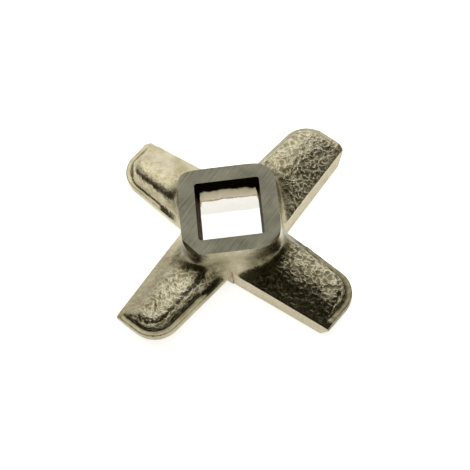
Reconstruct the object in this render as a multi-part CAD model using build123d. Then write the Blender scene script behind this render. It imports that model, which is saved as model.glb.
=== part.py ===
"""Four-bladed meat grinder knife: one casting with a square drive hole.

Millimetres.  The origin is the middle of the drive hole on the cutting face,
+Z runs up the hole to the hub face, and X and Y run along the hole's sides.
The blades lie on the diagonals.  Each one is drawn once, pointing along +X
with its cutting edge on the -Y side, and then set round the hub.
"""
import os
from math import atan2, cos, radians, sin, tan

from build123d import *

# ---- driving sizes --------------------------------------------------------
height = 11.6              # cutting face to hub face
blade_reach = 26.8         # middle of the hub to the end of a blade
blade_count = 4

hub_width = 18.0           # hub face, side to side
hub_corner = 3.8           # corner radius of the hub face
hub_draft = 0.8            # degrees, the hub widens down to the parting line

hole_width = 12.0          # drive hole where it meets either face
hole_waist = 10.9          # drive hole at its narrowest
waist_level = 6.3          # height of the narrowest place
hole_corner = 0.5

lead_margin = 1.3          # hub's side to the line of the cutting edge, at the hub
lead_angle = 5.0           # degrees, the cutting edge closes in towards the tip
lead_height = 3.9          # ground leading face, half way along the blade
lead_fall = 0.03           # and how much lower it gets for each mm outwards
trail_margin = 2.8         # hub's side to the parting line behind the blade
trail_angle = 3.2          # degrees

parting_level = 3.4        # height where the casting is widest
parting_land = 0.7         # upright band along the parting line
ledge_level = 4.5          # foot of the hump, on top of the rim
ledge_width = 1.5          # rim outside the hump
foot_inset = 1.7           # the sides draw in by this much at the cutting face
tip_corner = 4.8           # plan radius at the trailing corner of the tip
tip_keep = 1.1             # the foot reaches this much further out at the cutting edge

crest_root = 8.9           # height of the hump's crest at the hub
crest_tip = 6.6            # and at the tip
crest_shift = 0.9          # crest behind the blade's middle line
swell_place = 0.55         # fullest point of the sloping back, as a share of its run
swell_rise = 0.64          # and as a share of its rise
edge_slope = 2.0           # degrees, the back is this much steeper at the cutting edge
back_fall = 18.0           # degrees, fall behind the crest
hump_draft = 13.0          # degrees, sides of the hump
hump_round = 1.9           # radius over the hump's shoulder
root_round = 2.4           # hollow where the blades run into the hub
face_bevel = 0.25          # softened edge of the hub face

over = 6.0                 # how far tool shapes run past the metal they trim
near = 0.1                 # an edge closer than this lies on a level or a wall

lead_offset = hub_width / 2 - lead_margin
trail_offset = hub_width / 2 - trail_margin


# ---- one blade ------------------------------------------------------------
def trail(u, inset):
    return trail_offset - u * tan(radians(trail_angle)) - inset


def lead(u):
    return -lead_offset + u * tan(radians(lead_angle))


def plan(inset, level, keep=0.0):
    """The blade seen from above, drawn in by `inset`; its leading side runs wide."""
    tip, wide = blade_reach - inset, -lead_offset - over
    side = trail(tip, inset)
    lean = keep / (side - lead(tip))
    outer = (tip + lean * (side - wide), wide)
    shape = make_face(Polyline((0, wide), outer, (tip, side), (0, trail(0, inset)), close=True))
    trailing = shape.vertices().sort_by(Axis.Y)[-2:]
    return Plane.XY.offset(level) * fillet(trailing.sort_by(Axis.X)[-1], tip_corner - inset / 2)


def section(u, crest):
    """Everything under the blade's top: the sloping back, the crest and the fall behind it."""
    edge_level = lead_height + (blade_reach / 2 - u) * lead_fall
    run = crest_shift - lead(u)
    rise = crest - edge_level
    slope = atan2(rise, run) + radians(edge_slope)
    start = (lead(u) - over, edge_level - over * tan(slope))
    edge = (lead(u), edge_level)
    swell = (lead(u) + swell_place * run, edge_level + swell_rise * rise)
    top = (crest_shift, crest)
    back = (crest_shift + over, crest - over * tan(radians(back_fall)))
    with BuildSketch(Plane.YZ.offset(u)) as sketch:
        with BuildLine():
            Spline(start, edge, swell, top, back)
            Polyline(back, (back[0], -over), (start[0], -over), start)
        make_face()
    return sketch.sketch


def band(low, high):
    """Straight walls from one outline up to another."""
    return loft([low, high], ruled=True)


below, over_land = parting_level - parting_land / 2, parting_level + parting_land / 2
rim = band(plan(foot_inset, 0, tip_keep), plan(0, below))
rim = rim + band(plan(0, below), plan(0, over_land))
rim = rim + band(plan(0, over_land), plan(ledge_width, ledge_level))

hump_foot = ledge_width - (ledge_level - parting_level) * tan(radians(hump_draft))
hump = extrude(plan(hump_foot, parting_level), height - parting_level, taper=hump_draft)
under_top = loft([section(0, crest_root), section(blade_reach + 1, crest_tip)], ruled=True)
hump = hump & under_top


def on_shoulder(edge):
    """True along the hump's top edge, round the trailing side and the tip."""
    middle = edge.center()
    upright = abs(edge.tangent_at(0.5).Z) > 0.75
    return middle.X > 1 and middle.Y > -lead_offset and middle.Z > parting_level + near and not upright


hump = fillet(hump.edges().filter_by(on_shoulder), hump_round)

blade = hump + (rim & under_top)
stone = Plane((0, -lead_offset, 0), x_dir=(cos(radians(lead_angle)), sin(radians(lead_angle)), 0))
blade = blade - stone * Box(2 * (blade_reach + over), 2 * over, 4 * height,
                            align=(Align.CENTER, Align.MAX, Align.CENTER))


# ---- hub ------------------------------------------------------------------
def square(width, corner, level):
    return Plane.XY.offset(level) * RectangleRounded(width, width, corner)


def hub_width_at(level):
    return hub_width + 2 * (height - level) * tan(radians(hub_draft))


def hub_corner_at(level):
    return hub_corner + (height - level) * tan(radians(hub_draft))


middle = square(hub_width_at(parting_level), hub_corner_at(parting_level), parting_level)
knife = extrude(middle, height - parting_level, taper=hub_draft)
foot = square(hub_width_at(parting_level) - 2 * foot_inset, hub_corner, 0)
knife = knife + band(foot, middle)
for i in range(blade_count):
    knife = knife + Rot(Z=360 / blade_count * (i + 0.5)) * blade


def on_hub_side(edge):
    """True where a blade meets the hub's drafted side, above the rims."""
    if abs(edge.tangent_at(0.5).Z) > 0.99:
        return False
    for share in (0.1, 0.5, 0.9):
        p = edge.position_at(share)
        corner = hub_corner_at(p.Z)
        flat = hub_width_at(p.Z) / 2 - corner
        x, y = abs(p.X) - flat, abs(p.Y) - flat
        gap = (x * x + y * y) ** 0.5 if min(x, y) > 0 else max(x, y)
        if abs(gap - corner) > near / 2 or not ledge_level + near < p.Z < height - near:
            return False
    return True


knife = fillet(knife.edges().filter_by(on_hub_side), root_round)

# ---- drive hole -----------------------------------------------------------
waist = square(hole_waist, hole_corner, waist_level)
hub_end = band(waist, square(hole_width, hole_corner, height))
cutting_end = band(square(hole_width, hole_corner, 0), waist)
knife = knife - (hub_end + cutting_end)

face_rim = knife.faces().sort_by(Axis.Z)[-1].outer_wire().edges()
knife = chamfer(face_rim, face_bevel)

os.makedirs("parts", exist_ok=True)
export_step(knife, "parts/knife_casting.step")
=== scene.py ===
import math

import bmesh
import bpy
from mathutils import Matrix, Vector


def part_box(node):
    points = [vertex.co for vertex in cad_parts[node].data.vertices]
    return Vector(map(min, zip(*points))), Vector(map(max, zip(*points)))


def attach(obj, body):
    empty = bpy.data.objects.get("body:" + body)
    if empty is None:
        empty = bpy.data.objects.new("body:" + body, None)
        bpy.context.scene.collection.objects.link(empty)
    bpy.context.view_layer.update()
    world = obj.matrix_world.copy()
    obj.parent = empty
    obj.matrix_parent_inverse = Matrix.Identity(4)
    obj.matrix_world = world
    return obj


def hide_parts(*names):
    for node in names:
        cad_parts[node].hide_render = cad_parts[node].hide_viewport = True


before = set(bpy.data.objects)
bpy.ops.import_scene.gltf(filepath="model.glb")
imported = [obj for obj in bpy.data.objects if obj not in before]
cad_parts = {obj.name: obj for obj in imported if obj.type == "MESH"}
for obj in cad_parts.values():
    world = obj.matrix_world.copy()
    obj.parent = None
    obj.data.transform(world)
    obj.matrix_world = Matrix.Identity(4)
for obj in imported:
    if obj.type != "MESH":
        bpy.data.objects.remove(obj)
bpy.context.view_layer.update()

mm = 0.001
frame_width = 470          # pixels
focal_length = 1500        # in the same pixels
view_azimuth, view_elevation, view_roll = 3.39, 59.93, 9.74   # degrees
view_distance = 282.5      # millimetres, from the place the camera is aimed at
view_aim = (0.21, 0.96, 0)

# ---- sizes of the casting, in millimetres ----------------------------------
low_corner, high_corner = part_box("knife_casting")
height = (high_corner[2] - low_corner[2]) / mm
blade_reach = 26.8         # middle of the hub to the end of a blade
hub_width = 18.0
hub_corner = 3.8
hub_spread = 0.16          # each side stands out this much more at the parting line

lead_offset = 7.7          # ground leading face from the blade's middle line, at the hub
lead_angle = 5.0           # degrees
lead_height = 3.9          # leading face, half way along the blade
lead_fall = 0.03           # and how much lower it gets for each mm outwards
trail_offset = 6.2         # parting line behind the blade, at the hub
trail_angle = 3.2          # degrees

parting_level = 3.4
parting_land = 1.6         # upright band along the parting line
ledge_dish = 0.12          # the rim is hollowed by this much towards the hump
ledge_level = 4.2          # top of the rim
ledge_width = 1.15
foot_inset = 1.7
tip_corner = 4.8
crest_root, crest_tip = 8.9, 6.6
crest_shift = 0.9          # crest behind the blade's middle line
crest_round = 3.7          # bevel along the crest
ridge_rise = 1.16          # the unrounded ridge, as a share of the crest's rise
back_fall = 18.0           # degrees, fall behind the crest
hump_draft = 13.0          # degrees

hole_width, hole_waist, waist_level = 12.0, 10.9, 6.3

spare = 0.8                # metal left on for the grinding
riser = 2.6                # and on the hub's end
over_cut = 0.2             # and on the leading face before its last grinding
grain = 0.195              # spacing of the surface points on the finished casting


# ---- work at the bench -----------------------------------------------------
def clear_selection():
    bpy.ops.object.select_all(action="DESELECT")


def make_active(piece):
    clear_selection()
    piece.select_set(True)
    bpy.context.view_layer.objects.active = piece


def open_mesh(piece, kind):
    """Go into edit mode with nothing selected; kind is VERT, EDGE or FACE."""
    make_active(piece)
    bpy.ops.object.mode_set(mode="EDIT")
    bpy.ops.mesh.select_mode(type=kind)
    bpy.ops.mesh.select_all(action="DESELECT")


def close_mesh():
    bpy.ops.object.mode_set(mode="OBJECT")


def pick_points(piece, test):
    form = bmesh.from_edit_mesh(piece.data)
    for point in form.verts:
        point.select_set(bool(test(point.co / mm)))
    form.select_flush_mode()
    bmesh.update_edit_mesh(piece.data)


def pick_edges(piece, test):
    """test is given the edge's middle and its direction."""
    form = bmesh.from_edit_mesh(piece.data)
    for edge in form.edges:
        a, b = (point.co / mm for point in edge.verts)
        edge.select_set(bool(test((a + b) / 2, (b - a).normalized())))
    form.select_flush_mode()
    bmesh.update_edit_mesh(piece.data)


def pick_faces(piece, test):
    """test is given the face's middle and its normal."""
    form = bmesh.from_edit_mesh(piece.data)
    for face in form.faces:
        face.select_set(bool(test(face.calc_center_median() / mm, face.normal)))
    form.select_flush_mode()
    bmesh.update_edit_mesh(piece.data)


def shift(x=0, y=0, z=0):
    bpy.ops.transform.translate(value=(x * mm, y * mm, z * mm))


def apply_place(piece):
    make_active(piece)
    bpy.ops.object.transform_apply(location=True, rotation=True, scale=True)


def apply_modifier(piece, kind, **settings):
    make_active(piece)
    modifier = piece.modifiers.new(kind.lower(), kind)
    for name, value in settings.items():
        setattr(modifier, name, value)
    bpy.ops.object.modifier_apply(modifier=modifier.name)


def add_block(name, low, high):
    """A block between two corners, in millimetres."""
    middle = [(a + b) / 2 * mm for a, b in zip(low, high)]
    bpy.ops.mesh.primitive_cube_add(size=1, location=middle)
    block = bpy.context.object
    block.name = name
    block.scale = [(b - a) * mm for a, b in zip(low, high)]
    apply_place(block)
    return block


def cut(piece, tool, way="DIFFERENCE"):
    apply_modifier(piece, "BOOLEAN", object=tool, operation=way, solver="EXACT", material_mode="TRANSFER")
    make_active(tool)
    bpy.ops.object.delete()


def join(pieces, name):
    clear_selection()
    for piece in pieces:
        piece.select_set(True)
    bpy.context.view_layer.objects.active = pieces[0]
    bpy.ops.object.join()
    pieces[0].name = name
    return pieces[0]


def slice_level(level):
    """Cut a ring of edges all round at one height, in edit mode."""
    bpy.ops.mesh.select_all(action="SELECT")
    bpy.ops.mesh.bisect(plane_co=(0, 0, level * mm), plane_no=(0, 0, 1))
    bpy.ops.mesh.select_all(action="DESELECT")


# ---- camera and studio -----------------------------------------------------
def turned_view(azimuth, elevation, roll):
    """Camera axes as columns: right, up and back."""
    a, e, r = (math.radians(x) for x in (azimuth, elevation, roll))
    back = Vector((math.sin(a) * math.cos(e), -math.cos(a) * math.cos(e), math.sin(e)))
    right = Vector((math.cos(a), math.sin(a), 0))
    up = back.cross(right)
    across = right * math.cos(r) - up * math.sin(r)
    upright = right * math.sin(r) + up * math.cos(r)
    return Matrix((across, upright, back)).transposed(), back


def add_camera():
    axes, back = turned_view(view_azimuth, view_elevation, view_roll)
    place = (Vector(view_aim) + back * view_distance) * mm
    bpy.ops.object.camera_add(location=place)
    camera = bpy.context.object
    camera.name = "camera"
    camera.matrix_world = Matrix.Translation(place) @ axes.to_4x4()
    camera.data.sensor_width = 36
    camera.data.lens = camera.data.sensor_width * focal_length / frame_width
    camera.data.clip_start = 0.01
    bpy.context.scene.camera = camera


def add_floor():
    bpy.ops.mesh.primitive_plane_add(size=4, location=(0, 0, 0))
    floor = bpy.context.object
    floor.name = "floor"
    paint = bpy.data.materials.new("white_floor")
    paint.use_nodes = True
    shader = paint.node_tree.nodes["Principled BSDF"]
    shader.inputs["Base Color"].default_value = (0.9, 0.9, 0.9, 1)
    shader.inputs["Roughness"].default_value = 1
    shader.inputs["Specular IOR Level"].default_value = 0
    shader.inputs["Emission Color"].default_value = (1, 1, 0.985, 1)
    shader.inputs["Emission Strength"].default_value = 0.82
    floor.data.materials.append(paint)


def light_room():
    """A bright wall behind, a dim room on the near side, and soft glows overhead and to the right."""
    overhead, to_the_right = (0.02, 0.36, 0.93), (0.94, 0.23, 0.25)
    world = bpy.data.worlds.new("studio")
    bpy.context.scene.world = world
    world.use_nodes = True
    nodes, links = world.node_tree.nodes, world.node_tree.links
    back = nodes["Background"]
    place = nodes.new("ShaderNodeTexCoord")
    towards = nodes.new("ShaderNodeVectorMath")
    towards.operation = "DOT_PRODUCT"
    towards.inputs[1].default_value = Vector((0.12, 0.95, -0.2)).normalized()
    ramp = nodes.new("ShaderNodeValToRGB")
    links.new(place.outputs["Generated"], towards.inputs[0])
    spread = nodes.new("ShaderNodeMapRange")
    spread.inputs["From Min"].default_value = -1
    links.new(towards.outputs["Value"], spread.inputs["Value"])
    links.new(spread.outputs["Result"], ramp.inputs[0])
    stops = ramp.color_ramp.elements
    stops[0].position, stops[0].color = 0.0, (0.05, 0.045, 0.028, 1)
    stops[1].position, stops[1].color = 1.0, (1, 1, 1, 1)
    for at, tone in ((0.42, (0.035, 0.032, 0.02)), (0.55, (0.06, 0.055, 0.035)),
                     (0.68, (0.25, 0.24, 0.2)), (0.85, (0.75, 0.74, 0.7))):
        stops.new(at).color = (*tone, 1)
    light = ramp.outputs[0]
    for direction, start, full, amount in ((overhead, 0.7, 0.95, 0.75), (to_the_right, 0.78, 1.0, 0.2)):
        facing = nodes.new("ShaderNodeVectorMath")
        facing.operation = "DOT_PRODUCT"
        facing.inputs[1].default_value = Vector(direction).normalized()
        links.new(place.outputs["Generated"], facing.inputs[0])
        glow = nodes.new("ShaderNodeMapRange")
        glow.interpolation_type = "SMOOTHSTEP"
        glow.inputs["From Min"].default_value = start
        glow.inputs["From Max"].default_value = full
        glow.inputs["To Max"].default_value = amount
        links.new(facing.outputs["Value"], glow.inputs["Value"])
        both = nodes.new("ShaderNodeVectorMath")
        links.new(light, both.inputs[0])
        links.new(glow.outputs["Result"], both.inputs[1])
        light = both.outputs[0]
    links.new(light, back.inputs["Color"])
    back.inputs["Strength"].default_value = 1.4


# ---- finishes ----------------------------------------------------------------
def new_finish(name):
    finish = bpy.data.materials.new(name)
    finish.use_nodes = True
    nodes, links = finish.node_tree.nodes, finish.node_tree.links
    place = nodes.new("ShaderNodeTexCoord")
    shader = nodes["Principled BSDF"]
    shader.inputs["Metallic"].default_value = 1
    return finish, nodes, links, place.outputs["Object"], shader


def add_noise(nodes, links, place, scale, detail=4, roughness=0.6, stretch=None, turn=0, kind="FBM"):
    """scale counts features to the metre; stretch and turn draw them out along one line."""
    if stretch:
        mapping = nodes.new("ShaderNodeMapping")
        mapping.vector_type = "TEXTURE"
        mapping.inputs["Rotation"].default_value = (0, 0, math.radians(turn))
        mapping.inputs["Scale"].default_value = stretch
        links.new(place, mapping.inputs["Vector"])
        place = mapping.outputs["Vector"]
    texture = nodes.new("ShaderNodeTexNoise")
    texture.noise_type = kind
    texture.inputs["Scale"].default_value = scale
    texture.inputs["Detail"].default_value = detail
    texture.inputs["Roughness"].default_value = roughness
    if kind == "RIDGED_MULTIFRACTAL":
        texture.inputs["Offset"].default_value = 0.9
        texture.inputs["Gain"].default_value = 1.4
    links.new(place, texture.inputs["Vector"])
    return texture.outputs["Fac"]


def add_ramp(nodes, links, source, stops):
    """stops are (position, colour or level)."""
    ramp = nodes.new("ShaderNodeValToRGB")
    elements = ramp.color_ramp.elements
    for i, (at, tone) in enumerate(stops):
        stop = elements[i] if i < 2 else elements.new(at)
        stop.position = at
        stop.color = (*tone, 1) if isinstance(tone, tuple) else (tone, tone, tone, 1)
    links.new(source, ramp.inputs[0])
    return ramp.outputs[0]


def add_bump(nodes, links, source, depth, shader, strength=1.0, under=None):
    bump = nodes.new("ShaderNodeBump")
    if isinstance(strength, float):
        bump.inputs["Strength"].default_value = strength
    else:
        links.new(strength, bump.inputs["Strength"])
    bump.inputs["Distance"].default_value = depth * mm
    links.new(source, bump.inputs["Height"])
    if under:
        links.new(under, bump.inputs["Normal"])
    links.new(bump.outputs["Normal"], shader.inputs["Normal"])
    return bump.outputs["Normal"]


def make_cast_skin():
    finish, nodes, links, place, shader = new_finish("cast_skin")
    patches = add_noise(nodes, links, place, 260, 5)
    colour = add_ramp(nodes, links, patches,
                      [(0.3, (0.36, 0.315, 0.18)), (0.72, (0.60, 0.55, 0.40)), (0.5, (0.48, 0.43, 0.29))])
    # Grime and painted shade, speckled: darker in hollows, in the groove at the hump's foot, where the
    # blades run into the hub, over whole blades and on the hub's front face.
    grime_and_painted_shade = read_attribute(nodes, "grime_and_painted_shade")
    # Wear and a painted highlight: high spots above the rim are lightened.
    rubbed_and_highlit = read_attribute(nodes, "rubbed_and_highlit")
    speckle = add_noise(nodes, links, place, 900, 4)
    depth = nodes.new("ShaderNodeMath")
    depth.operation = "MULTIPLY"
    links.new(grime_and_painted_shade, depth.inputs[0])
    links.new(add_ramp(nodes, links, speckle, [(0.25, 0.65), (0.6, 1.0)]), depth.inputs[1])
    shadow, worn_highlight_tone = (0.13, 0.11, 0.055), (0.66, 0.61, 0.45)
    grime_and_shade_tone, glint = (0.07, 0.058, 0.024), (0.86, 0.81, 0.62)
    crumple = read_attribute(nodes, "crumple")
    creases = add_noise(nodes, links, place, 1100, 4, 0.6, kind="RIDGED_MULTIFRACTAL")
    # Painted shade in the low parts of the creases and painted glints on their crests.
    hollows = multiply(nodes, links, add_ramp(nodes, links, creases, [(0.25, 0.5), (0.6, 0.0)]), crumple)
    crests = multiply(nodes, links, add_ramp(nodes, links, creases, [(0.88, 0.0), (1.0, 0.38)]), crumple)
    shaded = mix_colour(nodes, links, hollows, colour, shadow)
    worn_and_highlit = mix_colour(nodes, links, rubbed_and_highlit, shaded, worn_highlight_tone)
    grime_and_shaded = mix_colour(nodes, links, depth.outputs[0], worn_and_highlit, grime_and_shade_tone)
    links.new(mix_colour(nodes, links, crests, grime_and_shaded, glint), shader.inputs["Base Color"])
    sheen = add_noise(nodes, links, place, 700, 4)
    dull = add_ramp(nodes, links, sheen, [(0.3, 0.2), (0.75, 0.36)])
    links.new(mix_colour(nodes, links, crests, dull, (0.15, 0.15, 0.15)), shader.inputs["Roughness"])
    first = add_bump(nodes, links, creases, 0.05, shader, crumple)
    pits = add_noise(nodes, links, place, 2300, 2, 0.5)
    add_bump(nodes, links, pits, 0.05, shader, 0.6, under=first)
    return finish


def read_attribute(nodes, name):
    attribute = nodes.new("ShaderNodeAttribute")
    attribute.attribute_name = name
    return attribute.outputs["Fac"]


def multiply(nodes, links, first, second):
    product = nodes.new("ShaderNodeMath")
    product.operation = "MULTIPLY"
    links.new(first, product.inputs[0])
    links.new(second, product.inputs[1])
    return product.outputs[0]


def mix_colour(nodes, links, share, colour, other):
    """Blend from a linked colour to a set one."""
    mix = nodes.new("ShaderNodeMix")
    mix.data_type = "RGBA"
    links.new(share, mix.inputs["Factor"])
    links.new(colour, mix.inputs[6])
    mix.inputs[7].default_value = (*other, 1)
    return mix.outputs[2]


def make_ground_face(name, dark, light, turn):
    """Stone-ground metal with fine lines at one angle."""
    finish, nodes, links, place, shader = new_finish(name)
    lines = add_noise(nodes, links, place, 5200, 3, 0.65, stretch=(40, 1, 3), turn=turn)
    blotches = add_noise(nodes, links, place, 240, 4)
    both = nodes.new("ShaderNodeMath")
    both.operation = "MULTIPLY_ADD"
    both.inputs[1].default_value = 0.5
    links.new(blotches, both.inputs[0])
    half = nodes.new("ShaderNodeMath")
    half.operation = "MULTIPLY"
    half.inputs[1].default_value = 0.5
    links.new(lines, half.inputs[0])
    links.new(half.outputs[0], both.inputs[2])
    colour = add_ramp(nodes, links, both.outputs[0], [(0.36, dark), (0.62, light)])
    links.new(colour, shader.inputs["Base Color"])
    links.new(add_ramp(nodes, links, lines, [(0.3, 0.46), (0.75, 0.3)]), shader.inputs["Roughness"])
    add_bump(nodes, links, lines, 0.03, shader, 0.6)
    return finish


def make_hole_wall():
    finish, nodes, links, place, shader = new_finish("hole_wall")
    split = nodes.new("ShaderNodeSeparateXYZ")
    links.new(place, split.inputs[0])
    wave = add_noise(nodes, links, place, 420, 3)
    wander = nodes.new("ShaderNodeMath")
    wander.operation = "MULTIPLY_ADD"
    wander.inputs[1].default_value = 0.0024
    links.new(wave, wander.inputs[0])
    links.new(split.outputs["Z"], wander.inputs[2])
    aside = nodes.new("ShaderNodeMath")
    aside.operation = "ABSOLUTE"
    links.new(split.outputs["X"], aside.inputs[0])
    to_side = nodes.new("ShaderNodeMapRange")
    to_side.inputs["From Min"].default_value = (hole_waist / 2 - 0.3) * mm
    to_side.inputs["From Max"].default_value = hole_waist / 2 * mm
    to_side.inputs["To Max"].default_value = 2.3 * mm
    links.new(aside.outputs[0], to_side.inputs["Value"])
    risen = nodes.new("ShaderNodeMath")
    links.new(wander.outputs[0], risen.inputs[0])
    links.new(to_side.outputs["Result"], risen.inputs[1])
    level = nodes.new("ShaderNodeMapRange")
    level.inputs["From Min"].default_value = 0.0012
    level.inputs["From Max"].default_value = (height + 1.2) * mm
    links.new(risen.outputs[0], level.inputs["Value"])
    # Painted light and shade in bands by height, rising towards the sides: near white low down is a painted
    # reflection of the floor, near black at the top is painted shade, with brown and tan bands between.
    painted_light_bands = [(0.0, (1, 1, 0.98)), (0.50, (1, 0.99, 0.95)), (0.53, (0.26, 0.21, 0.13)),
             (0.56, (0.60, 0.54, 0.42)), (0.73, (0.40, 0.36, 0.26)), (0.77, (0.006, 0.005, 0.002))]
    links.new(add_ramp(nodes, links, level.outputs[0], painted_light_bands), shader.inputs["Base Color"])
    rough = add_noise(nodes, links, place, 900, 4)
    links.new(add_ramp(nodes, links, rough, [(0.3, 0.3), (0.7, 0.5)]), shader.inputs["Roughness"])
    add_bump(nodes, links, rough, 0.12, shader, 0.6)
    shader.inputs["Specular Tint"].default_value = (0.3, 0.25, 0.15, 1)
    return finish


# ---- the blade, pointing along +X with its cutting edge on the -Y side --------
def lead_line(u):
    return -lead_offset + u * math.tan(math.radians(lead_angle))


def edge_level(u):
    return lead_height + (blade_reach / 2 - u) * lead_fall


def ridge_level(u):
    crest = crest_root + (crest_tip - crest_root) * u / blade_reach
    return edge_level(u) + ridge_rise * (crest - edge_level(u))


def model_rim_and_hump():
    """The blade's plan, raised into its parting land, ledge and drafted hump."""
    lead_side = -lead_offset - 2 * spare
    bpy.ops.mesh.primitive_plane_add(size=1, location=(
        blade_reach / 2 * mm, (lead_side + trail_offset) / 2 * mm, (parting_level - parting_land / 2) * mm))
    blade = bpy.context.object
    blade.name = "blade"
    blade.scale = (blade_reach * mm, (trail_offset - lead_side) * mm, 1)
    apply_place(blade)

    open_mesh(blade, "VERT")
    pick_points(blade, lambda p: p.x > blade_reach / 2 and p.y > 0)
    shift(y=-blade_reach * math.tan(math.radians(trail_angle)))
    bpy.ops.mesh.bevel(offset=tip_corner * mm, segments=12, affect="VERTICES")

    bpy.ops.mesh.select_mode(type="FACE")
    bpy.ops.mesh.select_all(action="SELECT")
    bpy.ops.mesh.extrude_region_move(TRANSFORM_OT_translate={"value": (0, 0, parting_land * mm)})
    bpy.ops.mesh.select_all(action="SELECT")
    bpy.ops.mesh.normals_make_consistent(inside=False)

    pick_faces(blade, lambda p, n: n.z > 0.9)
    bpy.ops.mesh.inset(thickness=ledge_width * mm, depth=-ledge_dish * mm)
    wall = ridge_level(0) + spare - parting_level
    bpy.ops.mesh.inset(thickness=wall * math.tan(math.radians(hump_draft)) * mm, depth=wall * mm)

    pick_faces(blade, lambda p, n: n.z < -0.9)
    below = parting_level - parting_land / 2
    bpy.ops.mesh.inset(thickness=foot_inset * (1 + spare / below) * mm, depth=(below + spare) * mm)
    close_mesh()
    return blade


def model_roof():
    """The block under the blade's top: a sloping back, a rounded crest and a fall behind it."""
    ends = (-1.0, blade_reach + 1.5)
    sides = (-lead_offset - 2 * spare - 1, trail_offset + 2)
    start_level = 5.0
    roof = add_block("roof", (ends[0], sides[0], -3), (ends[1], sides[1], start_level))
    open_mesh(roof, "VERT")
    bpy.ops.mesh.select_all(action="SELECT")
    bpy.ops.mesh.bisect(plane_co=(0, crest_shift * mm, 0), plane_no=(0, 1, 0))
    for u in ends:
        ridge = ridge_level(u)
        back_slope = (ridge - edge_level(u)) / (crest_shift - lead_line(u))
        levels = ((crest_shift, ridge),
                  (sides[0], ridge - back_slope * (crest_shift - sides[0])),
                  (sides[1], ridge - math.tan(math.radians(back_fall)) * (sides[1] - crest_shift)))
        for v, level in levels:
            pick_points(roof, lambda p: p.z > 0 and abs(p.x - u) < 0.1 and abs(p.y - v) < 0.1)
            shift(z=level - start_level)
    bpy.ops.mesh.select_mode(type="EDGE")
    pick_edges(roof, lambda p, d: p.z > 5 and abs(p.y - crest_shift) < 0.1 and abs(d.x) > 0.9)
    bpy.ops.mesh.bevel(offset=crest_round * mm, segments=10, affect="EDGES")
    close_mesh()
    return roof


def model_blade():
    blade = model_rim_and_hump()
    cut(blade, model_roof(), "INTERSECT")
    rough_stone = add_block("rough_stone", (-2 * blade_reach, -4 * spare - over_cut, -9),
                            (3 * blade_reach, -over_cut, 20))
    rough_stone.rotation_euler = (0, 0, math.radians(lead_angle))
    rough_stone.location = (0, lead_line(0) * mm, 0)
    apply_place(rough_stone)
    cut(blade, rough_stone)
    return blade


def wear_tip(blade, shorter, narrower, rounding):
    """Grind a blade back at the tip and round its leading corner."""
    open_mesh(blade, "VERT")
    pick_points(blade, lambda p: p.x > blade_reach / 2)
    shift(x=-shorter)
    pick_points(blade, lambda p: p.x > blade_reach / 2 and p.y > crest_shift)
    shift(y=-narrower)
    bpy.ops.mesh.select_mode(type="EDGE")
    pick_edges(blade, lambda p, d: p.x > blade_reach - 5 and p.y < -3.5
               and abs(d.z) > 0.45 and abs(d.y) < 0.45)
    bpy.ops.mesh.bevel(offset=rounding * mm, segments=5, affect="EDGES")
    close_mesh()


def set_blade(blade, angle, name, wear):
    copy = blade.copy()
    copy.data = blade.data.copy()
    copy.name = name
    bpy.context.collection.objects.link(copy)
    wear_tip(copy, *wear)
    copy.rotation_euler = (0, 0, math.radians(angle))
    apply_place(copy)
    return copy


# ---- the hub -------------------------------------------------------------------
def model_hub():
    half = hub_width / 2 + hub_spread
    hub = add_block("hub", (-half, -half, -spare), (half, half, height + riser))
    open_mesh(hub, "EDGE")
    pick_edges(hub, lambda p, d: abs(d.z) > 0.9)
    bpy.ops.mesh.bevel(offset=(hub_corner + hub_spread) * mm, segments=12, affect="EDGES")
    slice_level(parting_level)
    bpy.ops.mesh.select_mode(type="VERT")
    middle = (0, 0, 0)
    pick_points(hub, lambda p: p.z > height)
    top_share = (hub_width / 2 - 0.01) / half
    bpy.ops.transform.resize(value=(top_share, top_share, 1), center_override=middle)
    pick_points(hub, lambda p: p.z < 0)
    foot_share = 1 - foot_inset / half * (1 + spare / parting_level)
    bpy.ops.transform.resize(value=(foot_share, foot_share, 1), center_override=middle)
    close_mesh()
    return hub


def hub_gap(p):
    """How far a place lies outside the hub's side, in millimetres."""
    flat = hub_width / 2 + hub_spread / 2 - hub_corner
    x, y = abs(p.x) - flat, abs(p.y) - flat
    reach = math.hypot(x, y) if min(x, y) > 0 else max(x, y)
    return reach - hub_corner


def soften(piece, test, times):
    """Rub down the places that `test` picks, as the sand leaves them round."""
    pick_points(piece, test)
    bpy.ops.mesh.vertices_smooth(factor=0.5, repeat=times)


worn_back, worn_in = 1.2, 0.4          # how much shorter and narrower the worn blade is


def on_worn_wall(p):
    """The back left blade's far wall and rim, which wear has run together."""
    number, u, v = blade_place(p)
    inside = 0.9                       # stay this far inside the rim's edge
    trail = trail_offset - inside - u * math.tan(math.radians(trail_angle))
    x, y = u - (blade_reach - worn_back - inside - tip_corner), v - (trail - tip_corner)
    from_rim = tip_corner - (math.hypot(x, y) if min(x, y) > 0 else max(x, y))
    return number == 1 and v > -3.5 and from_rim > 0.3 and hub_gap(p) > 0.6 and p.z > ledge_level - 0.4


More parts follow.
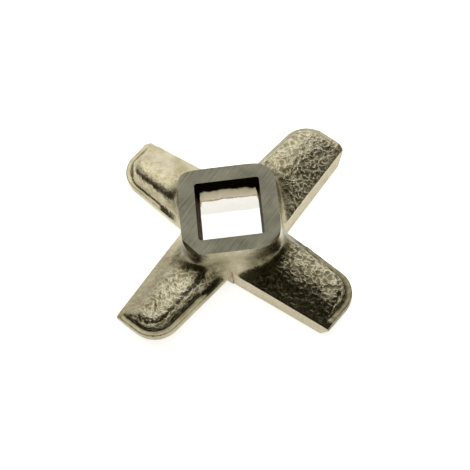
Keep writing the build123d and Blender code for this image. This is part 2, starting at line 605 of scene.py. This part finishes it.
def fuse_casting(pieces):
    casting = join(pieces, "casting")
    apply_modifier(casting, "REMESH", mode="VOXEL", voxel_size=grain * mm, adaptivity=0)
    open_mesh(casting, "VERT")
    # the hub's back left corner leans a little into its blade
    pick_points(casting, lambda p: p.x < -6.6 and p.y > 6.6 and p.z > 8.5 and abs(hub_gap(p)) < 0.6)
    shift(x=-0.4, y=0.4)
    soften(casting, lambda p: True, 4)
    # humps, then the hollows where the blades run into the hub, wide and then close
    soften(casting, lambda p: hub_gap(p) > 0.6 and p.z > ledge_level + 1.3, 40)
    soften(casting, lambda p: -0.9 < hub_gap(p) < 4.2 and 3.9 < p.z < height - 1.6, 180)
    soften(casting, lambda p: -0.7 < hub_gap(p) < 2.6 and p.z > 3.7, 90)
    # everything above the rim, the rim, and the worn wall
    soften(casting, lambda p: hub_gap(p) > -0.7 and p.z > ledge_level + 0.7, 25)
    soften(casting, lambda p: p.z < ledge_level - 0.3, 4)
    soften(casting, on_worn_wall, 130)
    close_mesh()
    return casting


def blade_place(p):
    """Which blade a place is on, how far out it lies, and how far behind the blade's middle line."""
    turn = math.degrees(math.atan2(p.y, p.x)) % 360
    number = int(turn // 90)
    a = math.radians(45 + 90 * number)
    return number, p.x * math.cos(a) + p.y * math.sin(a), p.y * math.cos(a) - p.x * math.sin(a)


def fade(value, start, end):
    return min(1, max(0, (value - start) / (end - start)))


# For the back right, back left, front left and front right blades: how crumpled the hump and the
# sloping back are, how much painted shade darkens the blade, and how much painted shade darkens the groove
# at the hump's foot.
crumple_of_blade = (1.15, 0.4, 1.0, 1.1)
slope_crumple = (1.15, 0.05, 0.15, 0.5)
painted_shade_of_blade = (0.38, 0.0, 0.24, 0.78)
groove_shade_of_blade = (0.3, 0.1, 0.95, 0.5)


def store(piece, name, values):
    """Keep one number for each surface point, for the materials to read."""
    layer = piece.data.attributes.new(name, "FLOAT", "POINT")
    layer.data.foreach_set("value", values)


def wrinkle(casting):
    """Fold and pit the skin that the sand mould left."""
    skin = casting.vertex_groups.new(name="skin")
    depths = []
    for point in casting.data.vertices:
        p = point.co / mm
        number, u, v = blade_place(p)
        behind = fade(v, -3.2, -0.6)
        raised = fade(p.z, ledge_level - 0.8 * (1 - behind), ledge_level + 1.6 * behind + 0.1)
        raised *= fade(hub_gap(p), 0.4, 3.0)
        crumple = crumple_of_blade[number] * behind + slope_crumple[number] * (1 - behind)
        skin.add([point.index], min(1, 0.14 + 0.7 * raised * crumple), "REPLACE")
        depths.append(min(1, 0.06 + 0.85 * raised * crumple))
    store(casting, "crumple", depths)
    folds = bpy.data.textures.new("folds", "MUSGRAVE")
    folds.musgrave_type = "RIDGED_MULTIFRACTAL"
    folds.noise_scale = 1.5 * mm
    folds.octaves = 3
    folds.lacunarity = 2.1
    folds.offset = 0.9
    folds.gain = 2.2
    apply_modifier(casting, "DISPLACE", texture=folds, texture_coords="LOCAL", vertex_group="skin",
                   strength=0.11 * mm, mid_level=0.6)
    lumps = bpy.data.textures.new("lumps", "CLOUDS")
    lumps.noise_scale = 3.2 * mm
    lumps.noise_depth = 2
    apply_modifier(casting, "DISPLACE", texture=lumps, texture_coords="LOCAL", vertex_group="skin",
                   strength=0.24 * mm, mid_level=0.5)


def mark_wear_and_painted_light(casting):
    """Store where the skin is darkened by grime and painted shade, and where its high spots are lightened
    by wear and a painted highlight.
    """
    eased = casting.copy()
    eased.data = casting.data.copy()
    bpy.context.collection.objects.link(eased)
    apply_modifier(eased, "SMOOTH", factor=0.5, iterations=24)
    grime_and_painted_shade, rubbed_and_highlit = [], []
    for point, level in zip(casting.data.vertices, eased.data.vertices):
        p = point.co / mm
        number, u, v = blade_place(p)
        # Against a smoothed copy, hollows sink and high spots stand out: hollows get grime and painted
        # shade, high spots wear and a painted highlight.
        sunk = (level.co - point.co).dot(point.normal) / mm
        # Painted shade in the groove at the hump's foot, on its steep wall.
        foot = fade(p.z, ledge_level - 0.35, ledge_level + 0.15)
        foot *= 1 - fade(p.z, ledge_level + 1.4, ledge_level + 2.6)
        wall = foot * fade(level.normal.z, 0.93, 0.7) * fade(hub_gap(p), 0.2, 2.5)
        wall *= fade(v, -5.5, -3.5) * groove_shade_of_blade[number]
        # Painted shade where the blades run into the hub.
        root = fade(hub_gap(p), 3.6, 1.2) * fade(p.z, height - 1.2, height - 3.5)
        root *= fade(abs(v), 6.2, 3.5) * fade(p.z, 4.5, 5.5)
        # Painted shade over each whole blade, then over the hub's front face.
        painted_blade_shade = painted_shade_of_blade[number] * fade(hub_gap(p), 0, 3)
        painted_blade_shade += 0.2 * fade(-p.y, 5, 8) * fade(abs(p.x), 8, 6)
        grime_and_painted_shade.append(min(1, fade(sunk, 0.02, 0.12) + wall + 0.75 * root + painted_blade_shade))
        rubbed_and_highlit.append(fade(-sunk, 0.02, 0.09) * fade(p.z, ledge_level, ledge_level + 1))
    store(casting, "grime_and_painted_shade", grime_and_painted_shade)
    store(casting, "rubbed_and_highlit", rubbed_and_highlit)
    make_active(eased)
    bpy.ops.object.delete()


# ---- grinding and the drive hole --------------------------------------------------
def add_stone(angle, finish):
    """A stone laid along one leading face."""
    far = blade_reach + 4
    stone = add_block("stone", (0, -6, -2), (far, 0, ledge_level + 0.6))
    stone.data.materials.append(finish)
    stone.rotation_euler = (0, 0, math.radians(lead_angle))
    start = 5.95
    stone.location = (start * mm, lead_line(start) * mm, 0)
    apply_place(stone)
    stone.rotation_euler = (0, 0, math.radians(angle))
    apply_place(stone)
    return stone


def model_hole_tool(finish):
    flare = (hole_width - hole_waist) / 2
    run_up, run_down = height - waist_level, waist_level
    top = hole_width / 2 + flare * (riser + spare) / run_up
    tool = add_block("hole_tool", (-top, -top, -2 * spare), (top, top, height + riser + spare))
    tool.data.materials.append(finish)
    open_mesh(tool, "EDGE")
    pick_edges(tool, lambda p, d: abs(d.z) > 0.9)
    bpy.ops.mesh.bevel(offset=0.5 * mm, segments=4, affect="EDGES")
    slice_level(waist_level)
    bpy.ops.mesh.select_mode(type="VERT")
    pick_points(tool, lambda p: abs(p.z - waist_level) < 0.05)
    share = hole_waist / 2 / top
    bpy.ops.transform.resize(value=(share, share, 1), center_override=(0, 0, waist_level * mm))
    close_mesh()
    return tool


def add_chip(turn, start, tilt, finish):
    """A glancing stroke that takes the hub's rim down at one corner."""
    chip = add_block("chip", (-3, -4, 0), (3, 4, 4))
    chip.data.materials.append(finish)
    chip.rotation_euler = (0, math.radians(tilt), math.radians(turn))
    x, y = start * math.cos(math.radians(turn)), start * math.sin(math.radians(turn))
    chip.location = (x * mm, y * mm, height * mm)
    apply_place(chip)
    return chip


def add_face_stone(low, high, finish):
    """A wide stone that takes one end down to a level."""
    wide = 2 * blade_reach
    stone = add_block("face_stone", (-wide, -wide, low), (wide, wide, high))
    stone.data.materials.append(finish)
    return stone


def pick_finish(piece, finishes):
    form = bmesh.from_edit_mesh(piece.data)
    slots = [i for i, finish in enumerate(piece.data.materials) if finish in finishes]
    for face in form.faces:
        face.select_set(face.material_index in slots)
    bmesh.update_edit_mesh(piece.data)


def finish_casting(casting, ground_finishes):
    """Clean the mesh, smooth its skin and leave the ground faces flat."""
    open_mesh(casting, "FACE")
    bpy.ops.mesh.select_all(action="SELECT")
    bpy.ops.mesh.remove_doubles(threshold=0.004 * mm)
    bpy.ops.mesh.dissolve_degenerate(threshold=0.002 * mm)
    bpy.ops.mesh.select_all(action="DESELECT")
    bpy.ops.mesh.select_face_by_sides(number=4, type="GREATER")
    bpy.ops.mesh.quads_convert_to_tris(quad_method="BEAUTY", ngon_method="BEAUTY")
    bpy.ops.mesh.select_all(action="SELECT")
    bpy.ops.mesh.normals_make_consistent(inside=False)
    close_mesh()
    bpy.ops.object.shade_smooth_by_angle(angle=math.radians(34))
    open_mesh(casting, "FACE")
    pick_finish(casting, ground_finishes)
    bpy.ops.mesh.faces_shade_flat()
    close_mesh()


# ---- make it -----------------------------------------------------------------------
add_camera()
add_floor()
light_room()

cast_skin = make_cast_skin()
hub_face = make_ground_face("hub_face", (0.11, 0.107, 0.078), (0.22, 0.21, 0.16), 52)
ground_edge = make_ground_face("ground_edge", (0.42, 0.36, 0.22), (0.60, 0.54, 0.39), 90)
hole_wall = make_hole_wall()

pattern = model_blade()
# shorter by, narrower by, and rounding of the leading corner
as_cast, lightly_worn, worn = (0, 0, 0.45), (0, 0, 1.1), (worn_back, worn_in, 1.3)
blades = [
    set_blade(pattern, 45, "blade_back_right", lightly_worn),
    set_blade(pattern, 135, "blade_back_left", worn),
    set_blade(pattern, 225, "blade_front_left", as_cast),
    set_blade(pattern, 315, "blade_front_right", as_cast),
]
make_active(pattern)
bpy.ops.object.delete()

knife = fuse_casting([model_hub()] + blades)
wrinkle(knife)
mark_wear_and_painted_light(knife)
for finish in (cast_skin, hub_face, ground_edge, hole_wall):
    knife.data.materials.append(finish)
cut(knife, add_face_stone(height, height + 2 * riser, hub_face))
cut(knife, add_face_stone(-2 * riser, 0, hub_face))
for i in range(4):
    cut(knife, add_stone(45 + 90 * i, ground_edge))
cut(knife, model_hole_tool(hole_wall))
cut(knife, add_chip(219, 10.35, 36, cast_skin))
cut(knife, add_chip(319, 10.6, 34, cast_skin))
finish_casting(knife, (hub_face, ground_edge))
knife.name = "knife"
knife.data.name = "knife"
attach(knife, "root")
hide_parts("knife_casting")

bpy.context.scene.view_settings.view_transform = "Standard"
